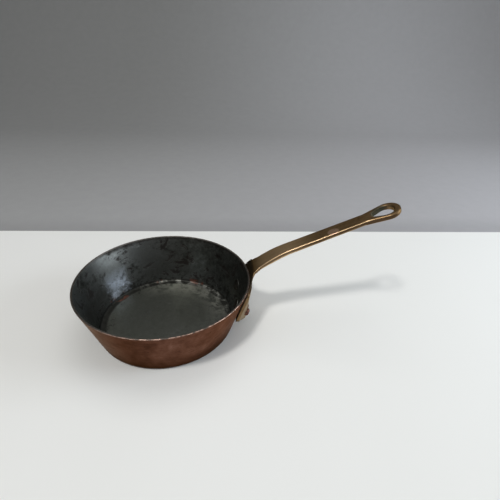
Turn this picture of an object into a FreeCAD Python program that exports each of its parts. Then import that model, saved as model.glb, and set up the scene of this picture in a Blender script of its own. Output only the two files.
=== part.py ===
import FreeCAD, Part

import math
import os
from FreeCAD import Vector

# Splayed copper saucepan with a riveted cast handle. Millimetres, +Z up.
# The origin is the middle of the flat base, and the handle points along +X.

# Pan body
rim_radius = 110.0          # outside edge of the rim
pan_height = 68.8
base_radius = 87.5          # where the outside of the wall would meet the table
corner_radius = 5.0         # outside, between base and wall
copper_thickness = 2.0
tin_thickness = 0.3
rim_rounding = 0.5

# Handle, as a strap that follows the upper face
grip_slope = math.radians(23.5)
grip_point = (200.0, 132.4)         # a point (x, z) of the straight grip's upper face
bend_end_x = 158.0                  # where the straight grip starts
bend_radius = 160.0                 # the gentle bend before it
elbow_radius = 12.0                 # the sharp bend above the rim
strap_sink = 2.0                    # how far the flat strap starts inside the round wall, before trimming
strap_start_z = 46.0
strap_depth = 5.8
side_depth = 3.4                    # height of the upright side
edge_bevel = 0.8
bottom_inset = 2.0                  # how far the bottom is narrower on each side
neck_depth = 3.5                    # strap thickness beside the rim, before trimming
grip_half_width = 9.8
# The strap's half width and depth from the plate to the straight grip, by x
half_widths = [(110.0, 13.0), (114.5, 16.0), (117.0, 14.0), (121.4, 12.9), (129.6, 12.3), (150.5, 10.8),
               (bend_end_x, 10.3), (245.0, grip_half_width)]
depths = [(112.0, neck_depth), (121.0, 4.8), (134.0, 6.3), (bend_end_x, 6.5), (245.0, strap_depth)]

# Hanging loop, measured along the grip from the centre of the hole's round end
hole_centre_x = 269.6
hole_radius = 10.0
hole_tip = 17.5                     # from the centre to the narrow end
hole_tip_radius = 5.0
loop_radius = 15.6
loop_centre = 2.2
loop_start = 24.0                   # where the grip starts to widen
loop_rise = 0.4                     # how far the loop stands above the grip's face
loop_depth = 6.4
loop_bevel = 1.2

# Riveting plate
plate_low_proud = 12.0              # how far it stands out from the wall at its lower corners
plate_high_proud = 4.0              # and at its upper corners
neck_sheet = 1.3                    # thickness of the thin flare between plate and strap
plate_half_angle = math.radians(18.5)
plate_low = 10.0                    # height of its lowest point
plate_corner_low = 22.0
plate_corner_high = 64.0
plate_high = 66.0                   # height of its upper edge in the middle
plate_rounding = 5.0
neck_top = 85.0                     # where the flare has narrowed to the strap
neck_half = 16.6
neck_inner = 113.6                  # radius of the flare's inner face at that height
neck_flare = (24.8, 76.0)           # half width and height half way down the flare

# Rivets: name, angle from the handle, height
rivet_places = [("rivet_near", -15.0, 36.5), ("rivet_far", 15.0, 36.5), ("rivet_low", 0.0, 22.5)]
shank_radius = 3.2
outer_head_radius = 5.2
outer_head_height = 4.0
inner_head_radius = 7.7
inner_head_height = 0.8

lean = math.atan2(rim_radius - base_radius, pan_height)
wall_up = (math.sin(lean), math.cos(lean))
wall_out = (math.cos(lean), -math.sin(lean))


def wall_radius(z, outward=0.0):
    """Radius of the wall's outside at height z, moved outward square to the wall."""
    return base_radius + math.tan(lean) * z + outward / math.cos(lean)


def turned(outline):
    """Solid of revolution about Z of a closed outline given as edges in the XZ plane."""
    face = Part.Face(Part.Wire(outline))
    return face.revolve(Vector(0, 0, 0), Vector(0, 0, 1), 360)


def line(a, b):
    return Part.makeLine(Vector(a[0], 0, a[1]), Vector(b[0], 0, b[1]))


def pan_filled(inset, top):
    """Everything inside the pan's outside, moved in by inset, up to the height top."""
    corner = corner_radius - inset
    centre = (wall_radius(inset + corner) - (inset + corner) / math.cos(lean), inset + corner)
    low = (centre[0], inset)
    high = (centre[0] + corner * wall_out[0], centre[1] + corner * wall_out[1])
    turn = -(math.pi / 2 + lean) / 2
    middle = (centre[0] + corner * math.cos(turn), centre[1] + corner * math.sin(turn))
    rim = (wall_radius(top, -inset), top)
    points = [Vector(p[0], 0, p[1]) for p in (low, middle, high)]
    return turned([line((0, inset), low), Part.Arc(*points).toShape(), line(high, rim),
                   line(rim, (0, top)), line((0, top), (0, inset))])


def wall_cone(low_proud, high_proud, top=1.5 * pan_height):
    """Filled cone over the wall and above it, standing out by the two amounts at the plate's corners."""
    gain = (high_proud - low_proud) / (plate_corner_high - plate_corner_low)
    foot = base_radius + low_proud - gain * plate_corner_low
    head = wall_radius(top) + low_proud + gain * (top - plate_corner_low)
    corners = [(0, 0), (foot, 0), (head, top), (0, top)]
    return turned([line(corners[i], corners[(i + 1) % 4]) for i in range(4)])


def neck_cone(outward=0.0):
    """Filled shape over the wall, which above the rim is steeper than the wall, up to the neck's top."""
    rings = [(0, 0), (base_radius + outward, 0), (rim_radius + outward, pan_height),
             (neck_inner + outward, neck_top), (0, neck_top)]
    return turned([line(rings[i], rings[(i + 1) % 5]) for i in range(5)])


def plate_proud(z):
    """How far the plate stands out from the wall at height z, level."""
    share = (z - plate_corner_low) / (plate_corner_high - plate_corner_low)
    return plate_low_proud + (plate_high_proud - plate_low_proud) * share


def rivet_frame(angle, z):
    """Point on the wall's outside and the direction square to it."""
    a = math.radians(angle)
    r = wall_radius(z)
    out = Vector(wall_out[0] * math.cos(a), wall_out[0] * math.sin(a), wall_out[1])
    return Vector(r * math.cos(a), r * math.sin(a), z), out


def shank(angle, z):
    point, out = rivet_frame(angle, z)
    start = point - out * (copper_thickness + tin_thickness + inner_head_height / 2)
    length = (point - start).Length + plate_proud(z) * wall_out[0] + outer_head_height / 2
    return Part.makeCylinder(shank_radius, length, start, out)


def all_shanks():
    solids = [shank(angle, z) for _, angle, z in rivet_places]
    return solids[0].multiFuse(solids[1:])


def make_pan():
    outside = pan_filled(0.0, pan_height)
    inside = pan_filled(copper_thickness, pan_height + 1.0)
    body = outside.cut(inside)
    edges = [e for e in body.Edges if e.BoundBox.ZMin > pan_height - 0.01]
    body = body.makeFillet(rim_rounding, [e for e in edges if e.Length > rim_radius])
    return body.cut(all_shanks())


def make_lining():
    top = pan_height - rim_rounding
    skin = pan_filled(copper_thickness, top).cut(
        pan_filled(copper_thickness + tin_thickness, top + 1.0))
    return skin.cut(all_shanks())


def strap_path():
    """Stations along the strap's upper face: (x, z, slope), from the plate to the straight grip."""
    up = (-math.sin(grip_slope), math.cos(grip_slope))
    bend_end = (bend_end_x, grip_height(bend_end_x))
    bend = (bend_end[0] - up[0] * bend_radius, bend_end[1] - up[1] * bend_radius)
    foot = (wall_radius(0, -strap_sink) + elbow_radius * wall_out[0], elbow_radius * wall_out[1])
    dx = foot[0] - bend[0]
    dz = foot[1] - bend[1]
    half = dx * wall_up[0] + dz * wall_up[1]
    rest = dx * dx + dz * dz - (bend_radius - elbow_radius) ** 2
    rise = -half + math.sqrt(half * half - rest)
    elbow = (foot[0] + rise * wall_up[0], foot[1] + rise * wall_up[1])
    steep = math.pi / 2 - lean
    turn = math.atan2(bend[0] - elbow[0], elbow[1] - bend[1])
    stations = []
    elbow_start_z = elbow[1] - elbow_radius * wall_out[1]
    for i in range(5):
        z = strap_start_z + (elbow_start_z - strap_start_z) * i / 5
        stations.append((wall_radius(z, -strap_sink), z, steep))
    for i in range(4):
        slope = steep + (turn - steep) * i / 3
        stations.append((elbow[0] - elbow_radius * math.sin(slope),
                         elbow[1] + elbow_radius * math.cos(slope), slope))
    for i in range(1, 8):
        slope = turn + (grip_slope - turn) * i / 7
        stations.append((bend[0] - bend_radius * math.sin(slope),
                         bend[1] + bend_radius * math.cos(slope), slope))
    return stations


def grip_height(x):
    return grip_point[1] + math.tan(grip_slope) * (x - grip_point[0])


def between(table, x):
    """Straight-line reading of a short table of (x, value)."""
    for (x0, v0), (x1, v1) in zip(table, table[1:]):
        if x <= x1:
            return v0 + (v1 - v0) * max(0.0, x - x0) / (x1 - x0)
    return table[-1][1]


def strap_section(x, z, slope):
    w = between(half_widths, x)
    depth = between(depths, x)
    side = depth * side_depth / strap_depth
    low = w - bottom_inset
    ring = [(w - edge_bevel, 0), (w, edge_bevel), (w, side), (low, depth)]
    ring = ring + [(-y, d) for y, d in reversed(ring)]
    points = [Vector(x + d * math.sin(slope), y, z - d * math.cos(slope)) for y, d in ring]
    return Part.makePolygon(points + points[:1])


def make_strap():
    bent = Part.makeLoft([strap_section(*s) for s in strap_path()], True, False)
    last = hole_centre_x - loop_start * math.cos(grip_slope)
    ends = [strap_section(x, grip_height(x), grip_slope) for x in (bend_end_x, last)]
    return bent.fuse(Part.makeLoft(ends, True, True))


def on_grip(u, y, depth=0.0):
    """Point u along the grip from the hole's centre, y across it and depth below its upper face."""
    x = hole_centre_x + u * math.cos(grip_slope) + depth * math.sin(grip_slope)
    z = grip_height(hole_centre_x) + u * math.sin(grip_slope) - depth * math.cos(grip_slope)
    return Vector(x, y, z)


def drop_outline(big, big_centre, small, small_centre):
    """Closed wire round two circles on the grip's axis: radius and centre of each, big one outwards."""
    cosine = (big - small) / (big_centre - small_centre)
    sine = math.sqrt(1 - cosine * cosine)
    b1 = on_grip(big_centre - big * cosine, big * sine)
    b2 = on_grip(big_centre - big * cosine, -big * sine)
    s1 = on_grip(small_centre - small * cosine, small * sine)
    s2 = on_grip(small_centre - small * cosine, -small * sine)
    far = on_grip(big_centre + big, 0)
    near = on_grip(small_centre - small, 0)
    return Part.Wire([Part.Arc(b1, far, b2).toShape(), Part.makeLine(b2, s2),
                      Part.Arc(s2, near, s1).toShape(), Part.makeLine(s1, b1)])


def make_loop():
    down = on_grip(0, 0, loop_depth) - on_grip(0, 0)
    rise = on_grip(0, 0, -loop_rise) - on_grip(0, 0)
    outer = Part.Face(drop_outline(loop_radius, loop_centre, grip_half_width, -loop_start))
    outer.translate(rise)
    body = outer.extrude(down)
    upright = [e for e in body.Edges if abs((e.Vertexes[0].Point - e.Vertexes[-1].Point).dot(down)) > 1.0]
    around = [e for e in body.Edges if not any(e.isSame(u) for u in upright)]
    body = body.makeChamfer(loop_bevel, around)
    tip = hole_tip_radius - hole_tip
    hole = Part.Face(drop_outline(hole_radius, 0.0, hole_tip_radius, tip))
    hole.translate(down * -0.5)
    mouth = drop_outline(hole_radius + loop_bevel, 0.0, hole_tip_radius + loop_bevel, tip)
    mouth.translate(rise)
    throat = drop_outline(hole_radius, 0.0, hole_tip_radius, tip)
    throat.translate(rise + down * (loop_bevel / loop_depth))
    return body.cut(hole.extrude(down * 2)).cut(Part.makeLoft([mouth, throat], True, True))


def side_edge(z):
    """Half width of the plate at height z: its upright edges follow the wall's slope."""
    return math.sin(plate_half_angle) * (wall_radius(z) + plate_proud(z))


def closed_prism(half_outline, top_middle):
    """Solid across the handle's root from the right half of an outline in the YZ plane, mirrored."""
    edges = []
    for side in (1, -1):
        for run in half_outline:
            points = [Vector(0, side * y, z) for y, z in run]
            edges.append(Part.Arc(*points).toShape() if len(run) == 3 else Part.makeLine(*points))
    edges.append(top_middle)
    wire = Part.Wire(Part.__sortEdges__(edges))
    return Part.Face(wire).extrude(Vector(1.5 * rim_radius, 0, 0))


def make_plate():
    low = (side_edge(plate_corner_low), plate_corner_low)
    high = (side_edge(plate_corner_high), plate_corner_high)
    bottom = (0.6 * low[0], plate_low + 0.35 * (plate_corner_low - plate_low))
    ends = [Vector(0, side * high[0], high[1]) for side in (1, -1)]
    top = Part.Arc(ends[0], Vector(0, 0, plate_high), ends[1]).toShape()
    prism = closed_prism([((0, plate_low), bottom, low), (low, high)], top)
    along = [e for e in prism.Edges if e.BoundBox.YLength < 0.01]
    corners = [e for e in along if abs(e.BoundBox.YMin) > low[0] / 2]
    prism = prism.makeFillet(plate_rounding, corners)
    return wall_cone(plate_low_proud, plate_high_proud).common(prism)


def make_flare():
    """The thin sheet that narrows from the plate, past the rim, to the strap."""
    foot = (side_edge(plate_corner_high) - 0.5, plate_corner_high - plate_rounding)
    top = Part.makeLine(Vector(0, neck_half, neck_top), Vector(0, -neck_half, neck_top))
    prism = closed_prism([((0, foot[1]), foot), (foot, neck_flare, (neck_half, neck_top))], top)
    return neck_cone(neck_sheet).common(prism)


def make_handle():
    body = make_plate().fuse(make_flare()).fuse(make_strap()).fuse(make_loop())
    body = body.cut(neck_cone())
    return body.cut(all_shanks()).removeSplitter()


def make_rivet(angle, z):
    point, out = rivet_frame(angle, z)
    skin = copper_thickness + tin_thickness
    disc = Part.makeCylinder(inner_head_radius, skin + inner_head_height,
                             point - out * (skin + inner_head_height), out)
    inner_head = disc.common(pan_filled(skin, pan_height))
    ball_radius = (outer_head_radius ** 2 + outer_head_height ** 2) / (2 * outer_head_height)
    seat = point + out * plate_proud(z) * wall_out[0]
    ball = Part.makeSphere(ball_radius, seat + out * (outer_head_height - ball_radius))
    slab = Part.makeCylinder(outer_head_radius, outer_head_height + 2.0, seat - out * 2.0, out)
    outer_head = ball.common(slab).cut(wall_cone(plate_low_proud, plate_high_proud))
    return inner_head.fuse(shank(angle, z)).fuse(outer_head).removeSplitter()


os.makedirs("parts", exist_ok=True)
pieces = {"copper_pan": make_pan(), "tin_lining": make_lining(), "cast_handle": make_handle()}
for name, angle, z in rivet_places:
    pieces[name] = make_rivet(angle, z)
for name, shape in pieces.items():
    shape.exportStep("parts/" + name + ".step")
    box = shape.BoundBox
    print(name, shape.ShapeType, len(shape.Solids), shape.isValid(), round(shape.Volume / 1000, 2), "cm3",
          [round(v, 1) for v in (box.XMin, box.XMax, box.YMin, box.YMax, box.ZMin, box.ZMax)])
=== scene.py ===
# %% [markdown]
# A splayed copper saucepan, tinned inside, with a cast brass handle riveted to its wall.
# This lesson dresses a finished CAD model for rendering. The CAD says where every piece is,
# so the first step loads it. Nothing made later may grow past that box.

# %% Load the frame
import math

import bmesh
import bpy
import numpy
from mathutils import Matrix, Vector


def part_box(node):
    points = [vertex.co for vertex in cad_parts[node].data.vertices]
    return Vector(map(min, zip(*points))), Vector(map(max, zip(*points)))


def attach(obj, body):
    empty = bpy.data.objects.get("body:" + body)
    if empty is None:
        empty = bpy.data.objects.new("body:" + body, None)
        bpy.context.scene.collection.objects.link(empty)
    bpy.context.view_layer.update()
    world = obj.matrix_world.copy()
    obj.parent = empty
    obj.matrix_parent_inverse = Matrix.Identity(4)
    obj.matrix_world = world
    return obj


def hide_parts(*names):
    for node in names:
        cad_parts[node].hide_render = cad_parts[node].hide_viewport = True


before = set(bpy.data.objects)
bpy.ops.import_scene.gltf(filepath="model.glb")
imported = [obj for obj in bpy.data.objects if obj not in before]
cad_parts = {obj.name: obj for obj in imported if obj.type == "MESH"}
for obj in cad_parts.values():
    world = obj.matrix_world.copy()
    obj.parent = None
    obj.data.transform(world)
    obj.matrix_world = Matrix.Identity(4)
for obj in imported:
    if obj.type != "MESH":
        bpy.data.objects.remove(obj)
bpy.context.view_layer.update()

MM = 0.001

# %% [markdown]
# The pan is turned work: one outline swept round an axis. These are the same driving sizes as
# in the CAD. The wall leans out evenly from the base to the rim, so one slope describes it, and
# the handle's plate is measured by how far it stands out from that wall.

# %% Sizes of the pan and the riveting plate
RIM_RADIUS, BASE_RADIUS, PAN_HEIGHT = 110 * MM, 87.5 * MM, 68.8 * MM
CORNER, COPPER, TIN, RIM_ROUNDING = 5 * MM, 2 * MM, 0.3 * MM, 0.5 * MM
LEAN = math.atan2(RIM_RADIUS - BASE_RADIUS, PAN_HEIGHT)
PLATE_LOW_PROUD, PLATE_HIGH_PROUD = 12 * MM, 4 * MM
PLATE_LOW, PLATE_CORNER, PLATE_TOP = 10 * MM, 22 * MM, 64 * MM


def wall_radius(z):
    return BASE_RADIUS + math.tan(LEAN) * z


def plate_proud(z):
    share = (z - PLATE_CORNER) / (PLATE_TOP - PLATE_CORNER)
    return PLATE_LOW_PROUD + (PLATE_HIGH_PROUD - PLATE_LOW_PROUD) * share


pan_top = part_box("copper_pan")[1].z
print("pan height from the CAD, mm:", round(pan_top / MM, 2))
print("the wall leans out by", round(math.degrees(LEAN), 2), "degrees")

# %% [markdown]
# The camera stands in front of the pan, a little to the right, and looks down at about 31
# degrees. A wide lens close by makes the near rim look larger than the far one. The camera's
# own axes are worked out from a heading, a pitch and a small roll, and written as a matrix.

# %% Camera
CAMERA_PLACE = Vector((0.0699, -0.3965, 0.3485))
HEADING, PITCH, ROLL = math.radians(84.43), math.radians(31.06), math.radians(2.30)
LENS, SENSOR_WIDTH = 27.04, 36


def camera_axes():
    """The camera's right, up and backward directions."""
    flat = math.cos(PITCH)
    ahead = Vector((flat * math.cos(HEADING), flat * math.sin(HEADING), -math.sin(PITCH)))
    level = Vector((math.sin(HEADING), -math.cos(HEADING), 0))
    upright = level.cross(ahead)
    right = level * math.cos(ROLL) + upright * math.sin(ROLL)
    up = upright * math.cos(ROLL) - level * math.sin(ROLL)
    return right, up, -ahead


camera = bpy.data.objects.new("camera", bpy.data.cameras.new("camera"))
bpy.context.scene.collection.objects.link(camera)
camera.data.lens, camera.data.sensor_width = LENS, SENSOR_WIDTH
camera.matrix_world = Matrix.Translation(CAMERA_PLACE) @ Matrix(camera_axes()).transposed().to_4x4()
bpy.context.scene.camera = camera
bpy.context.scene.view_settings.view_transform = "Standard"
print("camera looks down by", round(math.degrees(PITCH), 1), "degrees")

# %% [markdown]
# Node trees are long lists of small boxes. Three helpers keep them readable: `plug` fills a
# socket with a number or a link, `add_node` makes a node, sets its options and then fills its
# sockets by name or by number, and `Sum` lets a socket be used in ordinary sums, each of which
# adds a Math node.

# %% Helpers for node trees
def plug(tree, socket, value):
    if isinstance(value, Sum):
        value = value.socket
    if isinstance(value, bpy.types.NodeSocket):
        tree.links.new(value, socket)
    else:
        socket.default_value = value


def add_node(tree, kind, sockets=(), **settings):
    node = tree.nodes.new(kind)
    for name, value in settings.items():
        setattr(node, name, value)
    for key, value in dict(sockets).items():
        plug(tree, node.inputs[key], value)
    return node


class Sum:
    """A socket that can be added, multiplied and compared like a number."""

    def __init__(self, tree, socket):
        self.tree, self.socket = tree, socket

    def math(self, operation, *terms):
        node = add_node(self.tree, "ShaderNodeMath", operation=operation)
        for socket, term in zip(node.inputs, terms):
            plug(self.tree, socket, term)
        return Sum(self.tree, node.outputs[0])

    def __add__(self, other):
        return self.math("ADD", self, other)

    def __sub__(self, other):
        return self.math("SUBTRACT", self, other)

    def __rsub__(self, other):
        return self.math("SUBTRACT", other, self)

    def __mul__(self, other):
        return self.math("MULTIPLY", self, other)

    def __truediv__(self, other):
        return self.math("DIVIDE", self, other)

    def __pow__(self, other):
        return self.math("POWER", self, other)

    __radd__, __rmul__ = __add__, __mul__

    def cos(self):
        return self.math("COSINE", self)

    def sin(self):
        return self.math("SINE", self)

    def most(self, other):
        """The larger of the two."""
        return self.math("MAXIMUM", self, other)


# %% [markdown]
# Materials read Object coordinates. Every finished piece sits at the origin, so these are
# metres in the model's own frame and a stain stays where it was put. `Finish` wraps a material
# and offers the few moves that all the finishes use: noise, soft steps, colour ramps, mixes,
# and the distances from the pan's axis and from its wall.

# %% Helper for finishes
class Finish:
    """A material being built, with its base colour, roughness and bump worked out in nodes."""

    def __init__(self, name):
        self.material = bpy.data.materials.new(name)
        self.material.use_nodes = True
        self.tree = self.material.node_tree
        self.shader = self.tree.nodes["Principled BSDF"]
        place = add_node(self.tree, "ShaderNodeTexCoord")
        self.place = place.outputs["Object"]
        self.x, self.y, self.z = self.split(self.place)

    def split(self, vector):
        parts = add_node(self.tree, "ShaderNodeSeparateXYZ", {0: vector})
        return [Sum(self.tree, out) for out in parts.outputs]

    def join(self, x, y, z):
        return add_node(self.tree, "ShaderNodeCombineXYZ", {0: x, 1: y, 2: z}).outputs[0]

    def from_axis(self):
        return (self.x * self.x + self.y * self.y) ** 0.5

    def off_wall(self, radius):
        """How far outside the copper's outer face a point is."""
        return radius - math.tan(LEAN) * self.z - BASE_RADIUS

    def length(self, x, y):
        node = add_node(self.tree, "ShaderNodeVectorMath", {0: self.join(x, y, 0.0)}, operation="LENGTH")
        return Sum(self.tree, node.outputs["Value"])

    def noise(self, scale, detail=4.0, rough=0.55, warp=0.0, at=None):
        sockets = {"Vector": at or self.place, "Scale": scale, "Detail": detail,
                   "Roughness": rough, "Distortion": warp}
        return Sum(self.tree, add_node(self.tree, "ShaderNodeTexNoise", sockets).outputs[0])

    def step(self, value, start, end, low=0.0, high=1.0):
        """Rises smoothly from low to high while value goes from start to end."""
        sockets = {0: value, 1: start, 2: end, 3: low, 4: high}
        node = add_node(self.tree, "ShaderNodeMapRange", sockets, interpolation_type="SMOOTHSTEP")
        return Sum(self.tree, node.outputs[0])

    def ramp(self, value, *stops):
        node = add_node(self.tree, "ShaderNodeValToRGB", {0: value})
        points = node.color_ramp.elements
        while len(points) < len(stops):
            points.new(1.0)
        for point, (where, colour) in zip(points, stops):
            point.position, point.color = where, (*colour, 1.0)
        return node.outputs[0]

    def mix(self, share, a, b, blend="MIX"):
        node = add_node(self.tree, "ShaderNodeMix", {0: share}, data_type="RGBA", blend_type=blend)
        for socket, value in ((node.inputs[6], a), (node.inputs[7], b)):
            plug(self.tree, socket, (*value, 1.0) if isinstance(value, tuple) else value)
        return node.outputs[2]

    def read(self, name):
        """A number kept with the mesh under this name."""
        kept = add_node(self.tree, "ShaderNodeAttribute", attribute_name=name)
        return Sum(self.tree, kept.outputs["Fac"])

    def bump(self, height, depth, strength):
        sockets = {"Height": height, "Distance": depth, "Strength": strength}
        uneven = add_node(self.tree, "ShaderNodeBump", sockets)
        plug(self.tree, self.shader.inputs["Normal"], uneven.outputs[0])

    def surface(self, **sockets):
        """Fills the shader's sockets, named with _ for a space, and gives the material."""
        for name, value in sockets.items():
            plug(self.tree, self.shader.inputs[name.replace("_", " ")], value)
        return self.material


# %% [markdown]
# The stage is a pale cloth-covered top in front and, behind it, a plain grey sweep that starts
# level and curves up like a hanging roll of paper. They meet in a straight line. A few flat
# quads along one profile are all that either needs. The grey is painted lighter to the right
# and towards the front, painted light as when a window lights a room from one side, and it
# has a strip of painted shade where it comes down to the pale top.

# %% Floor and grey ground
STAGE_LINE, STAGE_TURN, STAGE_REACH = 0.2518, math.radians(-1.05), 4.0
SWEEP_START, SWEEP_RADIUS, SWEEP_TOP, SWEEP_STEPS = 0.75, 0.7, 2.6, 24
SHADED_STRIP, STRIP_SHADE = 0.07, 0.86
CLOTH_CREAM, CLOTH_WHITE = (0.80, 0.80, 0.77), (0.84, 0.84, 0.82)
NEAR_LEFT_GREY, NEAR_RIGHT_GREY = (0.33, 0.33, 0.33), (0.42, 0.415, 0.43)
FAR_LEFT_GREY, FAR_RIGHT_GREY = (0.24, 0.24, 0.235), (0.40, 0.40, 0.41)


def ground(name, profile, material):
    """Sheet as wide as the stage, through the points (distance, height) of a profile."""
    turn = Matrix.Rotation(STAGE_TURN, 3, "Z")
    places = [(side * STAGE_REACH, y, z) for y, z in profile for side in (-1, 1)]
    points = [turn @ Vector(place) + Vector((0, STAGE_LINE, 0)) for place in places]
    mesh = bpy.data.meshes.new(name)
    mesh.from_pydata(points, [], [(i, i + 1, i + 3, i + 2) for i in range(0, len(points) - 2, 2)])
    mesh.shade_smooth()
    mesh.materials.append(material)
    piece = bpy.data.objects.new(name, mesh)
    bpy.context.scene.collection.objects.link(piece)
    return piece


def sweep_profile():
    quarter = [math.pi / 2 * i / SWEEP_STEPS for i in range(SWEEP_STEPS + 1)]
    curve = [(SWEEP_START + SWEEP_RADIUS * math.sin(turn), SWEEP_RADIUS * (1 - math.cos(turn)))
             for turn in quarter]
    return [(0.0, 0.0), *curve, (SWEEP_START + SWEEP_RADIUS, SWEEP_TOP)]


def cloth_finish():
    f = Finish("pale_cloth")
    weave = f.noise(900, 2)
    folds = f.noise(5, 3, 0.4, 0.4)
    f.bump(weave * 0.02 + folds, 4 * MM, 0.35)
    colour = f.mix(f.noise(3, 2), CLOTH_CREAM, CLOTH_WHITE)
    return f.surface(Base_Color=colour, Roughness=0.95)


def grey_finish():
    f = Finish("grey_sweep")
    # Painted light: the grey is lighter to the right and towards the front.
    rightwards = f.step(f.x - f.y * 0.12, -0.5, 0.8)
    far = f.step(f.y, 0.25, 1.5)
    near_grey = f.mix(rightwards, NEAR_LEFT_GREY, NEAR_RIGHT_GREY)
    far_grey = f.mix(rightwards, FAR_LEFT_GREY, FAR_RIGHT_GREY)
    # Painted shade in a strip where the grey comes down to the pale top; grain carries it too.
    painted_shade_strip = f.step(f.y, STAGE_LINE, STAGE_LINE + SHADED_STRIP, STRIP_SHADE, 1.0)
    grain = (f.noise(40, 3) * 0.10 + 0.95) * painted_shade_strip
    colour = f.mix(1.0, f.mix(far, near_grey, far_grey), grain, "MULTIPLY")
    return f.surface(Base_Color=colour, Roughness=0.9)


floor = ground("pale_floor", [(-STAGE_REACH, 0.0), (0.0, 0.0)], cloth_finish())
backdrop = ground("grey_sweep", sweep_profile(), grey_finish())
print("stage pieces:", floor.name, backdrop.name)

# %% [markdown]
# Soft studio light. The surroundings are brighter overhead than near the horizon, as in a room,
# which is what gives metal its dark sides. A small lamp high at the front left makes the handle's
# shadow, a wide one overhead fills it, and a cool lamp low on the right stands for a window: that
# one shines on the inside of the left wall and on the loop's tip.

# %% Lights
HORIZON_LIGHT, OVERHEAD_LIGHT, ROOM_COLOUR = 0.13, 0.40, (0.97, 0.985, 1.0, 1)
LAMPS = {
    "key": dict(place=(-0.45, -0.76, 1.8), target=(0.10, 0, 0), size=0.22, power=15.0,
                colour=(1.0, 0.99, 0.97)),
    "overhead": dict(place=(0.1, 0.45, 1.8), target=(0.05, 0, 0), size=1.2, power=5.5,
                     colour=(1.0, 0.995, 0.98)),
    "window": dict(place=(1.48, -0.16, 0.52), target=(0, 0, 0.05), size=0.8, power=13,
                   colour=(0.84, 0.92, 1.0)),
}


def soft_lamp(name, place, target, size, power, colour):
    """Square lamp at a place, turned to shine on a target."""
    lamp = bpy.data.lights.new(name, "AREA")
    lamp.shape, lamp.size, lamp.size_y = "RECTANGLE", size, size
    lamp.energy, lamp.color = power, colour
    holder = bpy.data.objects.new(name, lamp)
    holder.location = place
    holder.rotation_euler = (Vector(place) - Vector(target)).to_track_quat("Z", "Y").to_euler()
    bpy.context.scene.collection.objects.link(holder)


def room_light(horizon, overhead, colour):
    world = bpy.data.worlds.new("studio")
    world.use_nodes = True
    tree = world.node_tree
    way = add_node(tree, "ShaderNodeTexCoord").outputs["Generated"]
    height = add_node(tree, "ShaderNodeSeparateXYZ", {0: way}).outputs[2]
    rise = add_node(tree, "ShaderNodeMapRange", {0: height, 1: 0.0, 2: 0.75, 3: horizon, 4: overhead})
    background = tree.nodes["Background"]
    plug(tree, background.inputs["Strength"], rise.outputs[0])
    background.inputs["Color"].default_value = colour
    bpy.context.scene.world = world


room_light(HORIZON_LIGHT, OVERHEAD_LIGHT, ROOM_COLOUR)
for lamp_name, settings in LAMPS.items():
    soft_lamp(lamp_name, **settings)
print("lamps:", ", ".join(LAMPS))

# %% [markdown]
# The pan and its rivets are turned work. A Screw modifier on a drawn outline would turn them
# too, but Geometry Nodes keep every size as a named input, so one tree can make several pieces.
# A line of corner points becomes a curve, Fillet Curve rounds the corners, and long runs are
# divided.

# %% Nodes for an outline
FILLET_STEPS = 7


def tree_with_inputs(name, inputs):
    tree = bpy.data.node_groups.new(name, "GeometryNodeTree")
    kinds = {float: "NodeSocketFloat", int: "NodeSocketInt"}
    for label, value in inputs.items():
        kind = kinds.get(type(value), "NodeSocketMaterial")
        socket = tree.interface.new_socket(name=label, in_out="INPUT", socket_type=kind)
        if value is not None:
            socket.default_value = value
    tree.interface.new_socket(name="Geometry", in_out="OUTPUT", socket_type="NodeSocketGeometry")
    given = tree.nodes.new("NodeGroupInput").outputs
    return tree, {label: Sum(tree, given[label]) for label in inputs}


def choose(tree, kind, index, items):
    """Index Switch with one item for each value."""
    node = add_node(tree, "GeometryNodeIndexSwitch", data_type=kind)
    while len(node.index_switch_items) < len(items):
        node.index_switch_items.new()
    plug(tree, node.inputs["Index"], index)
    for number, item in enumerate(items):
        plug(tree, node.inputs[1 + number], item)
    return node.outputs[0]


def rounded_outline(tree, corners, spacing):
    """Curve through corners (radius, height, rounding), its runs divided about every spacing."""
    index = add_node(tree, "GeometryNodeInputIndex").outputs[0]
    points = [add_node(tree, "ShaderNodeCombineXYZ", {0: r, 2: z}).outputs[0] for r, z, _ in corners]
    row = add_node(tree, "GeometryNodeMeshLine", {"Count": len(corners)}).outputs[0]
    placed = add_node(tree, "GeometryNodeSetPosition",
                      {"Geometry": row, "Position": choose(tree, "VECTOR", index, points)}).outputs[0]
    curve = add_node(tree, "GeometryNodeMeshToCurve", {"Mesh": placed}).outputs[0]
    rounding = choose(tree, "FLOAT", index, [c[2] for c in corners])
    soft = add_node(tree, "GeometryNodeFilletCurve",
                    {"Curve": curve, "Count": FILLET_STEPS, "Radius": rounding}, mode="POLY").outputs[0]
    here = add_node(tree, "GeometryNodeInputPosition").outputs[0]
    following = add_node(tree, "GeometryNodeFieldAtIndex",
                         {"Index": Sum(tree, index) + 1, "Value": here}, data_type="FLOAT_VECTOR").outputs[0]
    gap = add_node(tree, "ShaderNodeVectorMath", {0: here, 1: following}, operation="DISTANCE")
    cuts = Sum(tree, gap.outputs["Value"]) / spacing
    return add_node(tree, "GeometryNodeSubdivideCurve", {"Curve": soft, "Cuts": cuts}).outputs[0]


# %% [markdown]
# To turn an outline, a flat grid is wrapped round the axis: each of its columns takes one angle,
# and each of its rows reads one point of the outline. Unlike a swept curve, that leaves angle,
# radius and height as plain numbers, so a dent or a knock can be added before the grid is
# placed. Merge by Distance then closes the seam and the two poles. Every tree ends in the same
# way: instances made real, smooth shading and a material.

# %% Nodes that turn an outline
SEAM_GAP = 0.004 * MM


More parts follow.
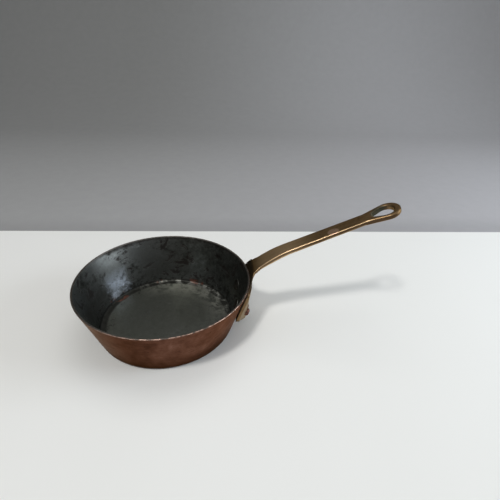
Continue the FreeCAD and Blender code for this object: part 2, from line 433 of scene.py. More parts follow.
def turned_grid(tree, outline, around):
    """Grid to wrap round Z, with the angle, radius and height that each of its points takes."""
    size = add_node(tree, "GeometryNodeAttributeDomainSize", {0: outline}, component="CURVE")
    rows = Sum(tree, size.outputs["Point Count"])
    grid = add_node(tree, "GeometryNodeMeshGrid", {"Vertices X": around + 1, "Vertices Y": rows}).outputs[0]
    index = Sum(tree, add_node(tree, "GeometryNodeInputIndex").outputs[0])
    column = index.math("FLOOR", (index + 0.5) / rows)
    here = add_node(tree, "GeometryNodeInputPosition").outputs[0]
    read = add_node(tree, "GeometryNodeSampleIndex",
                    {"Geometry": outline, "Value": here, "Index": index - column * rows},
                    data_type="FLOAT_VECTOR", domain="POINT")
    parts = add_node(tree, "ShaderNodeSeparateXYZ", {0: read.outputs[0]}).outputs
    angle = column / around * math.tau
    return grid, angle, Sum(tree, parts[0]), Sum(tree, parts[2])


def place_on_circle(tree, grid, angle, radius, height):
    x, y = radius * angle.cos(), radius * angle.sin()
    place = add_node(tree, "ShaderNodeCombineXYZ", {0: x, 1: y, 2: height})
    moved = add_node(tree, "GeometryNodeSetPosition", {"Geometry": grid, "Position": place.outputs[0]})
    return add_node(tree, "GeometryNodeMergeByDistance",
                    {"Geometry": moved.outputs[0], "Distance": SEAM_GAP}).outputs[0]


def field_noise(tree, at, scale, seed, detail=2.0):
    sockets = {"Vector": at, "W": seed, "Scale": scale, "Detail": detail}
    return Sum(tree, add_node(tree, "ShaderNodeTexNoise", sockets, noise_dimensions="4D").outputs[0])


def close_tree(tree, geometry, material):
    real = add_node(tree, "GeometryNodeRealizeInstances", {0: geometry}).outputs[0]
    smooth = add_node(tree, "GeometryNodeSetShadeSmooth", {"Geometry": real}).outputs[0]
    painted = add_node(tree, "GeometryNodeSetMaterial", {"Geometry": smooth, "Material": material})
    plug(tree, tree.nodes.new("NodeGroupOutput").inputs[0], painted.outputs[0])


# %% [markdown]
# A tree does nothing until a modifier holds it. `grown` puts it on an empty object, sets the
# modifier's inputs by their identifiers, reads the result as a plain mesh and throws the
# modifier away. `outward` then merges the doubles, turns the faces outwards and reports how many
# edges are left open, which should be none.

# %% From a node tree to a plain piece
DOUBLES_GAP = 0.002 * MM


def outward(mesh):
    work = bmesh.new()
    work.from_mesh(mesh)
    bmesh.ops.remove_doubles(work, verts=work.verts, dist=DOUBLES_GAP)
    bmesh.ops.recalc_face_normals(work, faces=work.faces)
    volume = work.calc_volume(signed=True)
    if volume < 0:
        bmesh.ops.reverse_faces(work, faces=work.faces)
    open_edges = sum(not edge.is_manifold for edge in work.edges)
    work.to_mesh(mesh)
    work.free()
    cubic_cm = abs(volume) * 1e6
    print(f"{mesh.name}: {len(mesh.polygons)} faces, {cubic_cm:.1f} cm3, open edges {open_edges}")


def new_piece(name, mesh):
    mesh.name = name
    piece = bpy.data.objects.new(name, mesh)
    bpy.context.scene.collection.objects.link(piece)
    return piece


def grown(name, tree, values):
    host = new_piece(name + "_host", bpy.data.meshes.new(name + "_host"))
    modifier = host.modifiers.new("nodes", "NODES")
    modifier.node_group = tree
    for item in tree.interface.items_tree:
        if item.in_out == "INPUT" and item.name in values:
            modifier[item.identifier] = values[item.name]
    graph = bpy.context.evaluated_depsgraph_get()
    mesh = bpy.data.meshes.new_from_object(host.evaluated_get(graph), depsgraph=graph)
    bpy.data.objects.remove(host)
    outward(mesh)
    return new_piece(name, mesh)


# %% [markdown]
# The copper outside. Old copper goes brown-red and cloudy and keeps fine wiping lines that run
# round the wall. Its left side is painted paler and greyer as a painted reflection of the bright
# cloth, and it is painted darker towards the base as painted shade. It shows bright metal where
# it is worn along the rim, painted brightest towards the front right as a painted highlight.
# Separate materials for dark and bright parts would meet in hard lines, so all of it is one
# metal whose colour and roughness vary with noise and height.

# %% Copper's colours
COPPER_TONES = ((0.36, (0.042, 0.019, 0.015)), (0.46, (0.098, 0.046, 0.034)),
                (0.55, (0.158, 0.078, 0.058)), (0.67, (0.285, 0.165, 0.130)))
LEFT_REFLECTION_DARK, LEFT_REFLECTION_PALE = (0.105, 0.091, 0.077), (0.245, 0.228, 0.200)
LOW_SHADE_BROWN, SCALE_SPECK = (0.032, 0.016, 0.012), (0.020, 0.010, 0.008)
UNDERSIDE_TONES = ((0.3, (0.04, 0.022, 0.016)), (0.7, (0.15, 0.075, 0.05)))
LIP_DARK, LIP_PALE = (0.055, 0.050, 0.044), (0.200, 0.180, 0.160)
BARE_TONES = ((0.4, (0.30, 0.17, 0.13)), (0.62, (0.72, 0.50, 0.41)))
COPPER_TINT = (0.70, 0.52, 0.42, 1)


# %% Copper finish
def copper_wall(f, colour, fine):
    """Paler, greyer left side as painted reflection, painted shade towards the base, and specks of scale.
    Gives colour and specks.
    """
    # Painted reflection: the left side is painted paler and greyer, like the bright cloth it reflects.
    pale_left_reflection = f.step(f.x + f.noise(22, 4) * 34 * MM, -14 * MM, -72 * MM)
    colour = f.mix(pale_left_reflection * 0.85, colour, f.mix(fine, LEFT_REFLECTION_DARK, LEFT_REFLECTION_PALE))
    # Painted shade: the wall is painted darker towards the base.
    painted_low_shade = f.step(f.z + f.noise(30, 3) * 14 * MM, 27 * MM, 8 * MM)
    colour = f.mix(painted_low_shade * 0.78, colour, LOW_SHADE_BROWN)
    specks = f.step(f.noise(420, 3, 0.6), 0.655, 0.70)
    return f.mix(specks * 0.6, colour, SCALE_SPECK), specks


def copper_underside(f, colour, clouds, radius):
    under = f.step(f.z, 1.2 * MM, 0.4 * MM)
    rings = f.noise(260, 3, at=f.join(radius, clouds * 0.01, 0.0))
    return f.mix(under * 0.8, colour, f.ramp(rings, *UNDERSIDE_TONES))


def copper_rim(f, colour, fine, radius):
    """Grey lip with patches of bare bright metal on its outer edge from wear, painted brightest towards the
    front right as a painted highlight. Gives colour and the wear with its highlight.
    """
    nicks = f.noise(210, 4, 0.7)
    lip = f.step(f.z, PAN_HEIGHT - 1.1 * MM, PAN_HEIGHT - 0.4 * MM)
    outer_edge = f.step(radius, RIM_RADIUS - 1.15 * MM, RIM_RADIUS - 0.75 * MM)
    colour = f.mix(lip, colour, f.mix(fine, LIP_DARK, LIP_PALE))
    # Painted highlight: the bare metal is brightest towards the front right, where the light falls; the rest
    # is wear.
    rubbed_and_lit = f.step(f.noise(24, 3) * 0.5 + f.x * 3.2 - f.y * 2.4, 0.10, 0.55)
    worn_and_lit = lip * outer_edge * f.step(nicks, 0.40, 0.54) * rubbed_and_lit
    return f.mix(worn_and_lit, colour, f.ramp(nicks, *BARE_TONES)), worn_and_lit


def copper_finish():
    f = Finish("old_copper")
    radius = f.from_axis()
    clouds = f.noise(16, 6, 0.6, 0.6)
    fine = f.noise(110, 5, 0.65)
    lines = f.noise(60, 4, 0.6, at=f.join(f.x, f.y, f.z * 14))
    tone = clouds * 0.62 + fine * 0.2 + lines * 0.18
    colour, specks = copper_wall(f, f.ramp(tone, *COPPER_TONES), fine)
    colour = copper_underside(f, colour, clouds, radius)
    colour, worn_and_lit = copper_rim(f, colour, fine, radius)
    rough = f.step(tone, 0.35, 0.7, 0.50, 0.33) - worn_and_lit * 0.10 + specks * 0.15
    f.bump(clouds * 0.6 + lines * 0.12 + fine * 0.12 - specks * 0.2, 0.6 * MM, 0.45)
    return f.surface(Base_Color=colour, Roughness=rough, Metallic=1.0, Specular_Tint=COPPER_TINT)


old_copper = copper_finish()
print("copper finish:", len(old_copper.node_tree.nodes), "nodes")

# %% [markdown]
# The tin inside is thin, soft and worn. It is grey-green and dull, blotched dark where food has
# burnt on. Its left wall and lower wall are painted paler as painted light, and one streak down
# the left wall is a pale bluish painted highlight. Where the floor meets the wall it has painted
# shade, a broken bright ring, a dark band just above, and a few spots where the copper shows
# through. The floor keeps faint round scuffs from stirring and a polished arc; the arc and the
# ring are painted brighter at the back right as a painted highlight. Marks that lie in one place
# are masks made of soft steps in radius and height, and ragged noise breaks their edges.

# %% Tin's colours
TIN_TONES = ((0.38, (0.018, 0.018, 0.016)), (0.46, (0.066, 0.068, 0.059)),
             (0.54, (0.135, 0.139, 0.124)), (0.66, (0.290, 0.296, 0.280)))
FLOOR_TIN, PAINTED_LIGHT_TIN, HIGHLIGHT_TIN = (0.140, 0.146, 0.126), (0.230, 0.240, 0.235), (0.70, 0.77, 0.87)
BURNT_BLACK, BURNT_BROWN = (0.008, 0.007, 0.007), (0.030, 0.018, 0.015)
POLISHED_TIN, BRIGHT_RING = (0.38, 0.38, 0.33), (0.42, 0.42, 0.38)
CREASE_SHADE, BAND_AND_PIT_DARK, EDGE_TIN = (0.026, 0.026, 0.023), (0.010, 0.009, 0.008), (0.22, 0.21, 0.19)
SHOWN_COPPER, TIN_TINT = (0.20, 0.085, 0.060), (0.75, 0.76, 0.74, 1)


# %% Marks on the tinned wall
def tin_wall_marks(f, colour, tone, on_floor, clouds):
    """Painted light making the left side and lower wall paler, and burnt blotches. Gives colour and
    blotches.
    """
    # Painted light: the left wall and the lower wall are painted paler.
    left_side = f.step(f.x, 30 * MM, -60 * MM)
    painted_pale = left_side.most(f.step(f.z, 34 * MM, 8 * MM)) * (1 - on_floor) * f.step(tone, 0.40, 0.52)
    colour = f.mix(painted_pale * 0.55, colour, PAINTED_LIGHT_TIN)
    stains = f.noise(42, 6, 0.7, 0.9, at=f.join(f.x, f.y, f.z * 1.7))
    burnt = f.step(stains, 0.545, 0.61) * f.step(f.z, 2.5 * MM, 12 * MM)
    by_rim = f.step(f.z + stains * 16 * MM, 70 * MM, 77 * MM) * f.step(f.y, 20 * MM, 60 * MM)
    burnt = burnt.most(by_rim)
    return f.mix(burnt * 0.8, colour, f.mix(clouds, BURNT_BLACK, BURNT_BROWN)), burnt


def tin_highlight_streak(f, colour, radius, ragged, wiped, grain):
    """Pale bluish painted highlight in a streak down the left of the wall. Gives colour and streak."""
    # Painted highlight: a pale bluish streak down the left wall, broken by mottling.
    turn = (f.x * 0.82 - f.y * 0.57) / radius
    painted_highlight = f.step(turn + (ragged - 0.5) * 0.09, -0.964, -0.998) * f.step(f.z, 46 * MM, 16 * MM)
    highlight_mottling = f.step(wiped * 0.5 + grain * 0.5, 0.41, 0.54, 0.25, 1.0)
    painted_highlight = painted_highlight * f.step(f.z, 2.6 * MM, 4.0 * MM) * highlight_mottling
    return f.mix(painted_highlight * 0.9, colour, HIGHLIGHT_TIN), painted_highlight


# %% Marks on the tinned floor and in its crease
def tin_floor_marks(f, colour, radius, ragged):
    """Polished arc on the floor and a bright ring in the corner, both painted brighter at the back right as
    a painted highlight, and painted shade in that corner. Gives colour and the corner's shade.
    """
    # Painted highlight: the polished arc and the bright ring are brighter at the back right.
    back_right_highlight = f.step((f.x * 0.5 + f.y * 0.86) / radius, 0.25, 0.85)
    polish = f.step(radius, 46 * MM, 76 * MM) * f.step(f.z, 6 * MM, 3 * MM) * f.step(ragged, 0.36, 0.54)
    colour = f.mix(polish * (back_right_highlight * 0.70 + 0.08), colour, POLISHED_TIN)
    # Painted shade in the corner where the floor meets the wall.
    crease_shade = f.step(radius, 76.5 * MM, 80 * MM) * f.step(f.z, 7 * MM, 4.4 * MM)
    colour = f.mix(crease_shade * 0.92, colour, CREASE_SHADE)
    bright = crease_shade * f.step(ragged, 0.47, 0.60) * (back_right_highlight * 0.75 + 0.05)
    return f.mix(bright * 0.7, colour, BRIGHT_RING), crease_shade


def tin_dark_band_and_bare(f, colour, radius, ragged, painted_highlight):
    """A dark band just above the corner, pits, and spots where the copper shows through."""
    # A dark band just above the corner of floor and wall.
    dark_band = f.step(f.z, 3.4 * MM, 5.5 * MM) * f.step(f.z, 10 * MM, 6 * MM) * f.step(ragged, 0.50, 0.62)
    pits = f.step(f.noise(130, 4, 0.65, 0.4), 0.60, 0.66) * f.step(radius, 60 * MM, 78 * MM)
    dark = (dark_band * (1 - painted_highlight)).most(pits * f.step(f.z, 16 * MM, 8 * MM))
    colour = f.mix(dark * 0.85, colour, BAND_AND_PIT_DARK)
    by_crease = f.step(radius, 76 * MM, 80 * MM) * f.step(f.z, 9 * MM, 6 * MM)
    bare = f.step(f.noise(38, 4, 0.6, 0.4), 0.60, 0.66) * by_crease
    return f.mix(bare * 0.8, colour, SHOWN_COPPER)


# %% Tin finish
def tin_finish():
    f = Finish("worn_tin")
    radius = f.from_axis()
    clouds = f.noise(20, 7, 0.62, 0.5)
    grain = f.noise(160, 6, 0.7)
    wiped = f.noise(60, 5, 0.6, 0.4, at=f.join((f.x + f.z * 0.8) * 0.35, f.y * 0.6, f.z - f.x * 0.8))
    scuffs = f.noise(1, 5, 0.6, at=f.join(radius * 120, clouds * 6, f.x * 14))
    ragged = f.noise(70, 5, 0.7, 0.5)
    on_floor = f.step(f.z, 4 * MM, 2.5 * MM)
    wall_tone = clouds * 0.42 + grain * 0.30 + wiped * 0.28
    floor_tone = clouds * 0.50 + grain * 0.28 + scuffs * 0.22
    tone = wall_tone + on_floor * (floor_tone - wall_tone)
    colour = f.mix(on_floor * 0.45, f.ramp(tone, *TIN_TONES), FLOOR_TIN)
    colour, burnt = tin_wall_marks(f, colour, tone, on_floor, clouds)
    colour, painted_highlight = tin_highlight_streak(f, colour, radius, ragged, wiped, grain)
    colour, crease_shade = tin_floor_marks(f, colour, radius, ragged)
    colour = tin_dark_band_and_bare(f, colour, radius, ragged, painted_highlight)
    top_edge = f.step(f.z, PAN_HEIGHT - 1.2 * MM, PAN_HEIGHT - 0.7 * MM)
    colour = f.mix(top_edge * 0.6, colour, EDGE_TIN)
    rough = f.step(tone, 0.38, 0.62, 0.50, 0.30) + burnt * 0.2 + crease_shade * 0.18 + painted_highlight * 0.10
    f.bump(clouds * 0.5 + grain * 0.35 + ragged * 0.2 - burnt * 0.3, 0.5 * MM, 0.5)
    return f.surface(Base_Color=colour, Roughness=rough, Metallic=1.0, Specular_Tint=TIN_TINT)


worn_tin = tin_finish()
print("tin finish:", len(worn_tin.node_tree.nodes), "nodes")

# %% [markdown]
# Both skins of the pan come from one tree. Its inputs are the sizes and how far the outer and
# inner faces lie inside the copper's outside. A little unevenness, the same for both skins,
# makes reflections swim as they do on beaten metal, and the rim gets tiny knocks. Both only
# ever take metal away, so the pan stays within its CAD size.

# %% Turn the copper body and the tin lining
TIN_LIP = 0.1 * MM
SWELL_SCALE, KNOCK_SCALE, HEIGHT_SCALE = 1.5, 26.0, 12
KNOCK_START, KNOCK_GAIN, KNOCK_HUGS_RIM = 0.52, 5, 40


def pan_tree():
    tree, size = tree_with_inputs("turned_skin", {
        "Rim radius": RIM_RADIUS, "Base radius": BASE_RADIUS, "Pan height": PAN_HEIGHT, "Corner": CORNER,
        "Outer inset": 0.0, "Inner inset": COPPER, "Lip rounding": RIM_ROUNDING, "Top": PAN_HEIGHT,
        "Unevenness": 0.35 * MM, "Rim knocks": 0.45 * MM, "Around": 384, "Spacing": 3.2 * MM,
        "Seed": 4.0, "Material": None})
    slope = (size["Rim radius"] - size["Base radius"]) / size["Pan height"]
    along = (1 + slope * slope) ** 0.5

    def radius_at(z, inset):
        return size["Base radius"] + slope * z - inset * along

    outer, inner, top = size["Outer inset"], size["Inner inset"], size["Top"]
    corners = [(0.0, outer, 0.0), (radius_at(outer, outer), outer, size["Corner"] - outer),
               (radius_at(top, outer), top, size["Lip rounding"]),
               (radius_at(top, inner), top, size["Lip rounding"]),
               (radius_at(inner, inner), inner, size["Corner"] - inner), (0.0, inner, 0.0)]
    outline = rounded_outline(tree, corners, size["Spacing"])
    grid, angle, radius, height = turned_grid(tree, outline, size["Around"])
    drum = {0: angle.cos(), 1: angle.sin(), 2: height * HEIGHT_SCALE}
    around = add_node(tree, "ShaderNodeCombineXYZ", drum).outputs[0]
    swell = field_noise(tree, around, SWELL_SCALE, size["Seed"])
    radius = radius * (1 - swell * size["Unevenness"] / size["Rim radius"])
    knocks = (field_noise(tree, around, KNOCK_SCALE, size["Seed"], 3.0) - KNOCK_START).most(0.0)
    by_rim = (height / size["Pan height"]) ** KNOCK_HUGS_RIM
    height = height - knocks * KNOCK_GAIN * by_rim * size["Rim knocks"]
    close_tree(tree, place_on_circle(tree, grid, angle, radius, height), size["Material"])
    return tree


skin_tree = pan_tree()
copper_body = grown("copper_body", skin_tree, {"Material": old_copper})
tin_skin = grown("tin_skin", skin_tree, {
    "Material": worn_tin, "Outer inset": COPPER, "Inner inset": COPPER + TIN,
    "Lip rounding": TIN_LIP, "Top": PAN_HEIGHT - RIM_ROUNDING})
for skin, skin_node in ((copper_body, "copper_pan"), (tin_skin, "tin_lining")):
    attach(skin, "root")
    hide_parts(skin_node)

# %% [markdown]
# The handle is one casting: a thick plate that hugs the wall, a thin neck that climbs past the
# rim, a flat grip and a hanging loop. It could be modelled again from a box, but the CAD solid
# already has its exact bends. Cast metal has no knife edges, so that solid is copied, its loose
# triangles are joined, and a voxel remesh with a light smoothing rounds every edge by about
# half a millimetre.

# %% Copy the casting and soften its edges
CASTING_VOXEL, SMOOTHING, SMOOTHING_ROUNDS = 0.56 * MM, 0.5, 2
LOOSE_GAP = 0.001 * MM


def softened(node):
    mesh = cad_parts[node].data.copy()
    work = bmesh.new()
    work.from_mesh(mesh)
    bmesh.ops.remove_doubles(work, verts=work.verts, dist=LOOSE_GAP)
    work.to_mesh(mesh)
    work.free()
    piece = new_piece(node + "_host", mesh)
    remesh = piece.modifiers.new("remesh", "REMESH")
    remesh.mode, remesh.voxel_size = "VOXEL", CASTING_VOXEL
    smooth = piece.modifiers.new("smooth", "SMOOTH")
    smooth.factor, smooth.iterations = SMOOTHING, SMOOTHING_ROUNDS
    graph = bpy.context.evaluated_depsgraph_get()
    result = bpy.data.meshes.new_from_object(piece.evaluated_get(graph), depsgraph=graph)
    bpy.data.objects.remove(piece)
    return result


casting = softened("cast_handle")
print("casting:", len(casting.polygons), "faces")

# %% [markdown]
# The plate is pillow-shaped: its side faces stand 6 to 7 mm off the wall, and from there a bevel
# climbs to the full thickness. A Bevel modifier needs clean edges, which a remeshed casting no
# longer has. With the height off the wall and the distance to the plate's nearest edge known for
# every point, the bevel is a simple limit, so the points are moved in numpy. The plate's back is
# also eased off the wall by up to 1.7 mm near its edges, which leaves the thin dark line that
# shows a plate is a separate part.

# %% Shape the riveting plate
PLATE_HALF_ANGLE, PLATE_REACH = math.radians(18.5), 130 * MM
SIDE_FACE, BEVEL_RISE, BEVEL_BLEND, CORNER_BLEND = 6.6 * MM, 1.05, 1.5 * MM, 4 * MM
BACK_GAP, GAP_REACH, GAP_TOP, GAP_FADE = 1.7 * MM, 5 * MM, 52 * MM, 20 * MM


def soft_min(a, b, blend):
    mixed = numpy.clip(0.5 + 0.5 * (b - a) / blend, 0, 1)
    return b + (a - b) * mixed - blend * mixed * (1 - mixed)


def plate_half_width(z):
    """Half the plate's width at a height, tapering evenly from its lower corners to its top."""
    low = math.sin(PLATE_HALF_ANGLE) * (wall_radius(PLATE_CORNER) + PLATE_LOW_PROUD)
    high = math.sin(PLATE_HALF_ANGLE) * (wall_radius(PLATE_TOP) + PLATE_HIGH_PROUD)
    return low + (high - low) * (z - PLATE_CORNER) / (PLATE_TOP - PLATE_CORNER)


def inside_plate(y, z):
    """Distance in from the plate's nearest side or curved foot, 0 outside it."""
    side = plate_half_width(z) - abs(y)
    foot = z - (PLATE_LOW + (PLATE_CORNER - PLATE_LOW) * (y / plate_half_width(PLATE_CORNER)) ** 2)
    return numpy.maximum(soft_min(side, foot, CORNER_BLEND), 0)


def shape_plate(mesh):
    points = numpy.empty(len(mesh.vertices) * 3)
    mesh.vertices.foreach_get("co", points)
    points = points.reshape(-1, 3)
    x, y, z = points.T
    radius = numpy.hypot(x, y)
    proud = radius - wall_radius(z)
    inside = inside_plate(y, z)
    on_plate = (z < PLATE_TOP + 2 * MM) & (radius < PLATE_REACH)
    bevelled = soft_min(proud, SIDE_FACE + BEVEL_RISE * inside, BEVEL_BLEND)
    eased = BACK_GAP * numpy.clip(1 - inside / GAP_REACH, 0, 1) * numpy.clip((GAP_TOP - z) / GAP_FADE, 0, 1)
    shaped = numpy.where(on_plate, numpy.maximum(bevelled, eased), proud)
    points[:, :2] *= ((wall_radius(z) + shaped) / radius)[:, None]
    mesh.vertices.foreach_set("co", points.ravel())
    mesh.update()
    print("plate points moved:", int((abs(shaped - proud) > 0.05 * MM).sum()))


shape_plate(casting)

# %% [markdown]
# The upper edges of the grip get a painted highlight and its upright sides a painted shade.
# The direction each point faces says which is which, so two numbers are kept with the mesh,
# and the finish below reads them by name.

# %% Mark the painted highlight on the edges and the painted shade on the sides
GRIP_SLOPE = math.radians(23.5)
BEND_PLACES, BEND_SLOPES = [112 * MM, 125 * MM, 158 * MM], [0.95, 0.62, GRIP_SLOPE]


def smooth_step(value, start, end):
    share = numpy.clip((value - start) / (end - start), 0, 1)
    return share * share * (3 - 2 * share)


def mark_edge_highlight_and_side_shade(mesh):
    count = len(mesh.vertices)
    points, facing = numpy.empty(count * 3), numpy.empty(count * 3)
    mesh.vertices.foreach_get("co", points)
    mesh.vertex_normals.foreach_get("vector", facing)
    x, facing = points.reshape(-1, 3)[:, 0], facing.reshape(-1, 3)
    slope = numpy.interp(x, BEND_PLACES, BEND_SLOPES)
    upward = facing[:, 2] * numpy.cos(slope) - facing[:, 0] * numpy.sin(slope)
    sideways = abs(facing[:, 1])
    on_grip = smooth_step(x, 112 * MM, 118 * MM)
    before_loop = smooth_step(x, 256 * MM, 246 * MM)
    # edge is a painted highlight on the upper edges, side a painted shade on the upright sides.
    edge = smooth_step(upward, 0.45, 0.65) * smooth_step(upward, 0.95, 0.82) * on_grip * before_loop
    neither_way = smooth_step(upward, 0.40, 0.20) * smooth_step(upward, -0.45, -0.2)
    side = smooth_step(sideways, 0.72, 0.92) * neither_way * on_grip
    for name, values in (("edge_highlight", edge), ("side_shade", side)):
        mesh.attributes.new(name, "FLOAT", "POINT").data.foreach_set("value", values.astype("f"))
    print("rubbed points:", int((edge > 0.5).sum()), "dark side points:", int((side > 0.5).sum()))


mark_edge_highlight_and_side_shade(casting)

# %% [markdown]
# Cast brass left to age is brown-gold and satin. It is painted nearly black at the neck as
# painted shade where the neck bends down to the wall, paler where a hand rubs the grip,
# green-grey in the loop's hole where nothing rubs, and coppery in one round patch on the grip.
# The grip's upright sides get painted shade and its upper edges a painted highlight. It has a
# fine skin of casting grain, and scratches along the grip. One material covers the whole
# casting, and each mark is placed by where it lies.

# %% Brass's colours and the places of its marks
BRASS_TONES = ((0.34, (0.140, 0.088, 0.044)), (0.50, (0.230, 0.148, 0.076)), (0.64, (0.350, 0.230, 0.122)))
NECK_SHADE, SIDE_SHADE, EDGE_HIGHLIGHT = (0.040, 0.037, 0.031), (0.060, 0.034, 0.020), (0.66, 0.49, 0.30)
RUBBED_DARK, RUBBED_PALE = (0.52, 0.35, 0.19), (0.86, 0.61, 0.37)
PLATE_BRASS, PLATE_GAP_SHADE = (0.400, 0.345, 0.270), (0.016, 0.011, 0.009)
HOLE_DARK, HOLE_GREEN = (0.016, 0.022, 0.017), (0.090, 0.106, 0.084)
COPPERY, BRASS_SPECK, BRASS_TINT = (0.58, 0.385, 0.265), (0.05, 0.035, 0.02), (0.75, 0.62, 0.45, 1)
HOLE_X, HOLE_HALF_LENGTH, HOLE_HALF_WIDTH = 266 * MM, 11.5 * MM, 10.2 * MM
PATCH_X, PATCH_Y, PATCH_EDGE, PATCH_CORE = 208.5 * MM, -4.5 * MM, 6.8 * MM, 6.1 * MM
GRIP_TOP_X, GRIP_TOP_Z = 200 * MM, 132.4 * MM


# %% Marks on the brass
def brass_wear_and_painted_light(f, colour, along):
    """Neck painted near black as painted shade, paler grip where a hand rubs it, painted shade on the
    upright sides and painted highlight on the upper edges. Gives colour and the neck's shade.
    """
    # Painted shade: the neck is painted nearly black where it bends down to the wall.
    neck_shade = f.step(f.x + f.noise(60, 4) * 6 * MM, 117.5 * MM, 113 * MM) * f.step(f.z, 58 * MM, 72 * MM)
    colour = f.mix(neck_shade * 0.85, colour, NECK_SHADE)
    rub = f.step(f.x, 112 * MM, 128 * MM) * f.step(f.x, 195 * MM, 150 * MM)
    colour = f.mix(rub * 0.85, colour, f.mix(along, RUBBED_DARK, RUBBED_PALE))
    # Painted shade on the upright sides and a painted highlight on the upper edges.
    colour = f.mix(f.read("side_shade") * 0.8, colour, SIDE_SHADE)
    return f.mix(f.read("edge_highlight") * 0.5, colour, EDGE_HIGHLIGHT), neck_shade


def brass_plate_marks(f, colour):
    """Greyer face on the plate, and painted shade in the gap behind its edge."""
    proud = f.off_wall(f.from_axis())
    on_plate = f.step(f.z, 68 * MM, 60 * MM)
    colour = f.mix(f.step(proud, 4.2 * MM, 6.4 * MM) * on_plate * 0.7, colour, PLATE_BRASS)
    # Painted shade in the gap behind the plate's edge.
    return f.mix(f.step(proud, 2.6 * MM, 1.6 * MM) * on_plate * 0.9, colour, PLATE_GAP_SHADE)


def brass_grip_marks(f, colour, clouds):
    """Green wall of the hanging hole, and the coppery patch on the grip's top. Gives colour and green."""
    from_hole = f.length((f.x - HOLE_X) / HOLE_HALF_LENGTH, f.y / HOLE_HALF_WIDTH)
    green = f.step(from_hole, 1.20, 1.07)
    colour = f.mix(green * 0.75, colour, f.mix(clouds, HOLE_DARK, HOLE_GREEN))
    from_patch = f.length(f.x - PATCH_X, f.y - PATCH_Y)
    below_top = f.z - (GRIP_TOP_Z + math.tan(GRIP_SLOPE) * (f.x - GRIP_TOP_X))
    top_face = f.step(below_top, -1.2 * MM, -0.6 * MM)
    patch = f.step(from_patch, PATCH_EDGE, PATCH_CORE) * top_face
    return f.mix(patch * 0.9, colour, COPPERY), green


# %% Brass finish on the casting
def brass_finish():
    f = Finish("cast_brass")
    clouds = f.noise(28, 5, 0.6, 0.4)
    grain = f.noise(420, 4, 0.6)
    along = f.noise(70, 4, 0.6, at=f.join(f.x * 0.25 + f.z * 0.1, f.y * 3, f.z * 0.5))
    tone = clouds * 0.5 + grain * 0.2 + along * 0.3
    colour, neck_shade = brass_wear_and_painted_light(f, f.ramp(tone, *BRASS_TONES), along)
    colour, green = brass_grip_marks(f, brass_plate_marks(f, colour), clouds)
    specks = f.step(f.noise(260, 3, 0.6), 0.66, 0.72)
    colour = f.mix(specks * 0.5, colour, BRASS_SPECK)
    rough = f.step(tone, 0.35, 0.65, 0.42, 0.30) + neck_shade * 0.15 + green * 0.2
    f.bump(clouds * 0.4 + grain * 0.25 + along * 0.3 - specks * 0.3, 0.35 * MM, 0.5)
    return f.surface(Base_Color=colour, Roughness=rough, Metallic=1.0, Specular_Tint=BRASS_TINT)


casting.materials.clear()
casting.materials.append(brass_finish())
casting.shade_smooth()
outward(casting)
handle = new_piece("brass_handle", casting)
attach(handle, "root")
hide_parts("cast_handle")

# %% [markdown]
# Copper rivets fasten the handle. Outside, their fat heads are dark brown and dimpled from the
# hammer. Inside the pan the tin was wiped over them, so there the same finish turns grey: a
# step in the distance from the wall tells the two ends apart.

# %% Rivet finish
RIVET_TONES = ((0.35, (0.024, 0.009, 0.007)), (0.52, (0.075, 0.030, 0.022)), (0.68, (0.240, 0.120, 0.090)))
TINNED_TONES = ((0.35, (0.035, 0.036, 0.031)), (0.65, (0.135, 0.138, 0.122)))
RIVET_TINT = (0.7, 0.5, 0.42, 1)


def rivet_finish():
    f = Finish("rivet_copper")
    dents = f.noise(330, 3, 0.5, 0.3)
    clouds = f.noise(120, 4, 0.6)
    tinned = f.step(f.off_wall(f.from_axis()), -1.9 * MM, -2.4 * MM)
    colour = f.mix(tinned, f.ramp(clouds, *RIVET_TONES), f.ramp(clouds, *TINNED_TONES))
    rough = f.step(clouds, 0.3, 0.7, 0.50, 0.36)
    f.bump(dents + clouds * 0.5, 0.5 * MM, 0.6)
    return f.surface(Base_Color=colour, Roughness=rough, Metallic=1.0, Specular_Tint=RIVET_TINT)


# %% [markdown]
# Rivets repeat, so a node tree makes them. One small group turns a rivet as it looks once it is
# driven: a thin wide head inside the pan, the shank, and a fat hammered head outside. The main
# tree places that group at each rivet's angle and height, square to the leaning wall.

# %% Rivet nodes
RIVETS = {"rivet_near": (-15.0, 36.5), "rivet_far": (15.0, 36.5), "rivet_low": (0.0, 22.5)}
SKIN = COPPER + TIN
RIVET_SIZES = {"Outer radius": 5.1 * MM, "Inner radius": 7.6 * MM, "Dents": 0.35 * MM}
RIVET_SIDES, RIVET_SPACING, HEAD_OVERLAP = 56, 0.7 * MM, 0.2 * MM
INNER_ROUNDING, SEAT_ROUNDING, CROWN_ROUNDING = 0.5 * MM, 0.4 * MM, 3.2 * MM
DENT_SCALE, DENT_PULL, DENT_SHARES = 190.0, -160.0, (1.0, 1.0, 0.35)


def moved_geometry(tree, geometry, socket, parts):
    vector = add_node(tree, "ShaderNodeCombineXYZ", parts).outputs[0]
    return add_node(tree, "GeometryNodeTransform", {"Geometry": geometry, socket: vector}).outputs[0]


def hammered(tree, geometry, size):
    """Dents the surface: the further a point is from the rivet's middle, the more it is drawn in."""
    here = add_node(tree, "GeometryNodeInputPosition").outputs[0]
    pull = field_noise(tree, here, DENT_SCALE, size["Seed"]) * size["Dents"] * DENT_PULL
    inwards = add_node(tree, "ShaderNodeVectorMath", {0: here, "Scale": pull}, operation="SCALE").outputs[0]
    offset = add_node(tree, "ShaderNodeVectorMath", {0: inwards, 1: DENT_SHARES}, operation="MULTIPLY")
    return add_node(tree, "GeometryNodeSetPosition",
                    {"Geometry": geometry, "Offset": offset.outputs[0]}).outputs[0]


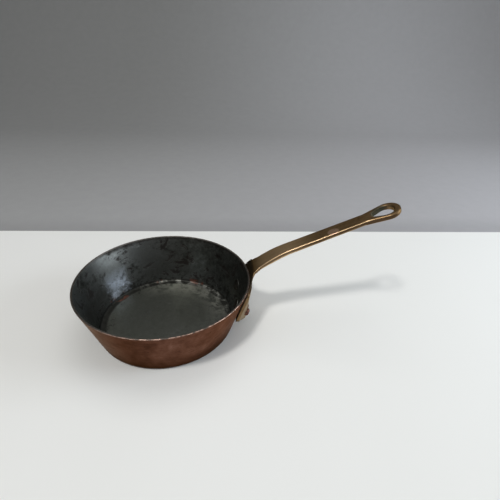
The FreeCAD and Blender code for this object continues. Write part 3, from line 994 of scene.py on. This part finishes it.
def rivet_group():
    tree, size = tree_with_inputs("driven_rivet", {
        "Angle": 0.0, "Height": 0.0, "Plate": 8.0 * MM, "Wall radius": 0.1, "Lean": LEAN, "Skin": SKIN,
        "Shank radius": 3.2 * MM, "Outer height": 3.9 * MM, "Inner height": 0.75 * MM, "Sunk": 3.0 * MM,
        **RIVET_SIZES, "Seed": 1.0})
    back, seat = size["Skin"] * -1.0, size["Plate"] - size["Sunk"]
    tail, crown = back - size["Inner height"], size["Plate"] + size["Outer height"]
    inner, shank, outer = size["Inner radius"], size["Shank radius"], size["Outer radius"]
    corners = [(0.0, tail, 0.0), (inner, tail, INNER_ROUNDING), (inner, back + HEAD_OVERLAP, 0.0),
               (shank, back + HEAD_OVERLAP, 0.0), (shank, seat, 0.0), (outer, seat, SEAT_ROUNDING),
               (outer, crown, CROWN_ROUNDING), (0.0, crown, 0.0)]
    outline = rounded_outline(tree, corners, RIVET_SPACING)
    around = Sum(tree, add_node(tree, "FunctionNodeInputInt", integer=RIVET_SIDES).outputs[0])
    grid, angle, radius, height = turned_grid(tree, outline, around)
    upright = place_on_circle(tree, grid, angle, radius, height)
    moved = moved_geometry(tree, hammered(tree, upright, size), "Rotation", {1: size["Lean"] + math.pi / 2})
    moved = moved_geometry(tree, moved, "Translation", {0: size["Wall radius"], 2: size["Height"]})
    moved = moved_geometry(tree, moved, "Rotation", {2: size["Angle"]})
    plug(tree, tree.nodes.new("NodeGroupOutput").inputs[0], moved)
    return tree


def riveting_tree(group):
    tree, size = tree_with_inputs("riveting", {**RIVET_SIZES, "Material": None})
    together = add_node(tree, "GeometryNodeJoinGeometry")
    for number, (angle, height) in enumerate(RIVETS.values()):
        height = height * MM
        values = {"Angle": math.radians(angle), "Height": height, "Wall radius": wall_radius(height),
                  "Plate": plate_proud(height) * math.cos(LEAN), "Seed": 1.0 + number,
                  **{name: size[name] for name in RIVET_SIZES}}
        node = add_node(tree, "GeometryNodeGroup", node_tree=group)
        for key, value in values.items():
            plug(tree, node.inputs[key], value)
        tree.links.new(node.outputs[0], together.inputs[0])
    close_tree(tree, together.outputs[0], size["Material"])
    return tree


rivets = grown("rivets", riveting_tree(rivet_group()), {"Material": rivet_finish()})
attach(rivets, "root")
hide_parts(*RIVETS)
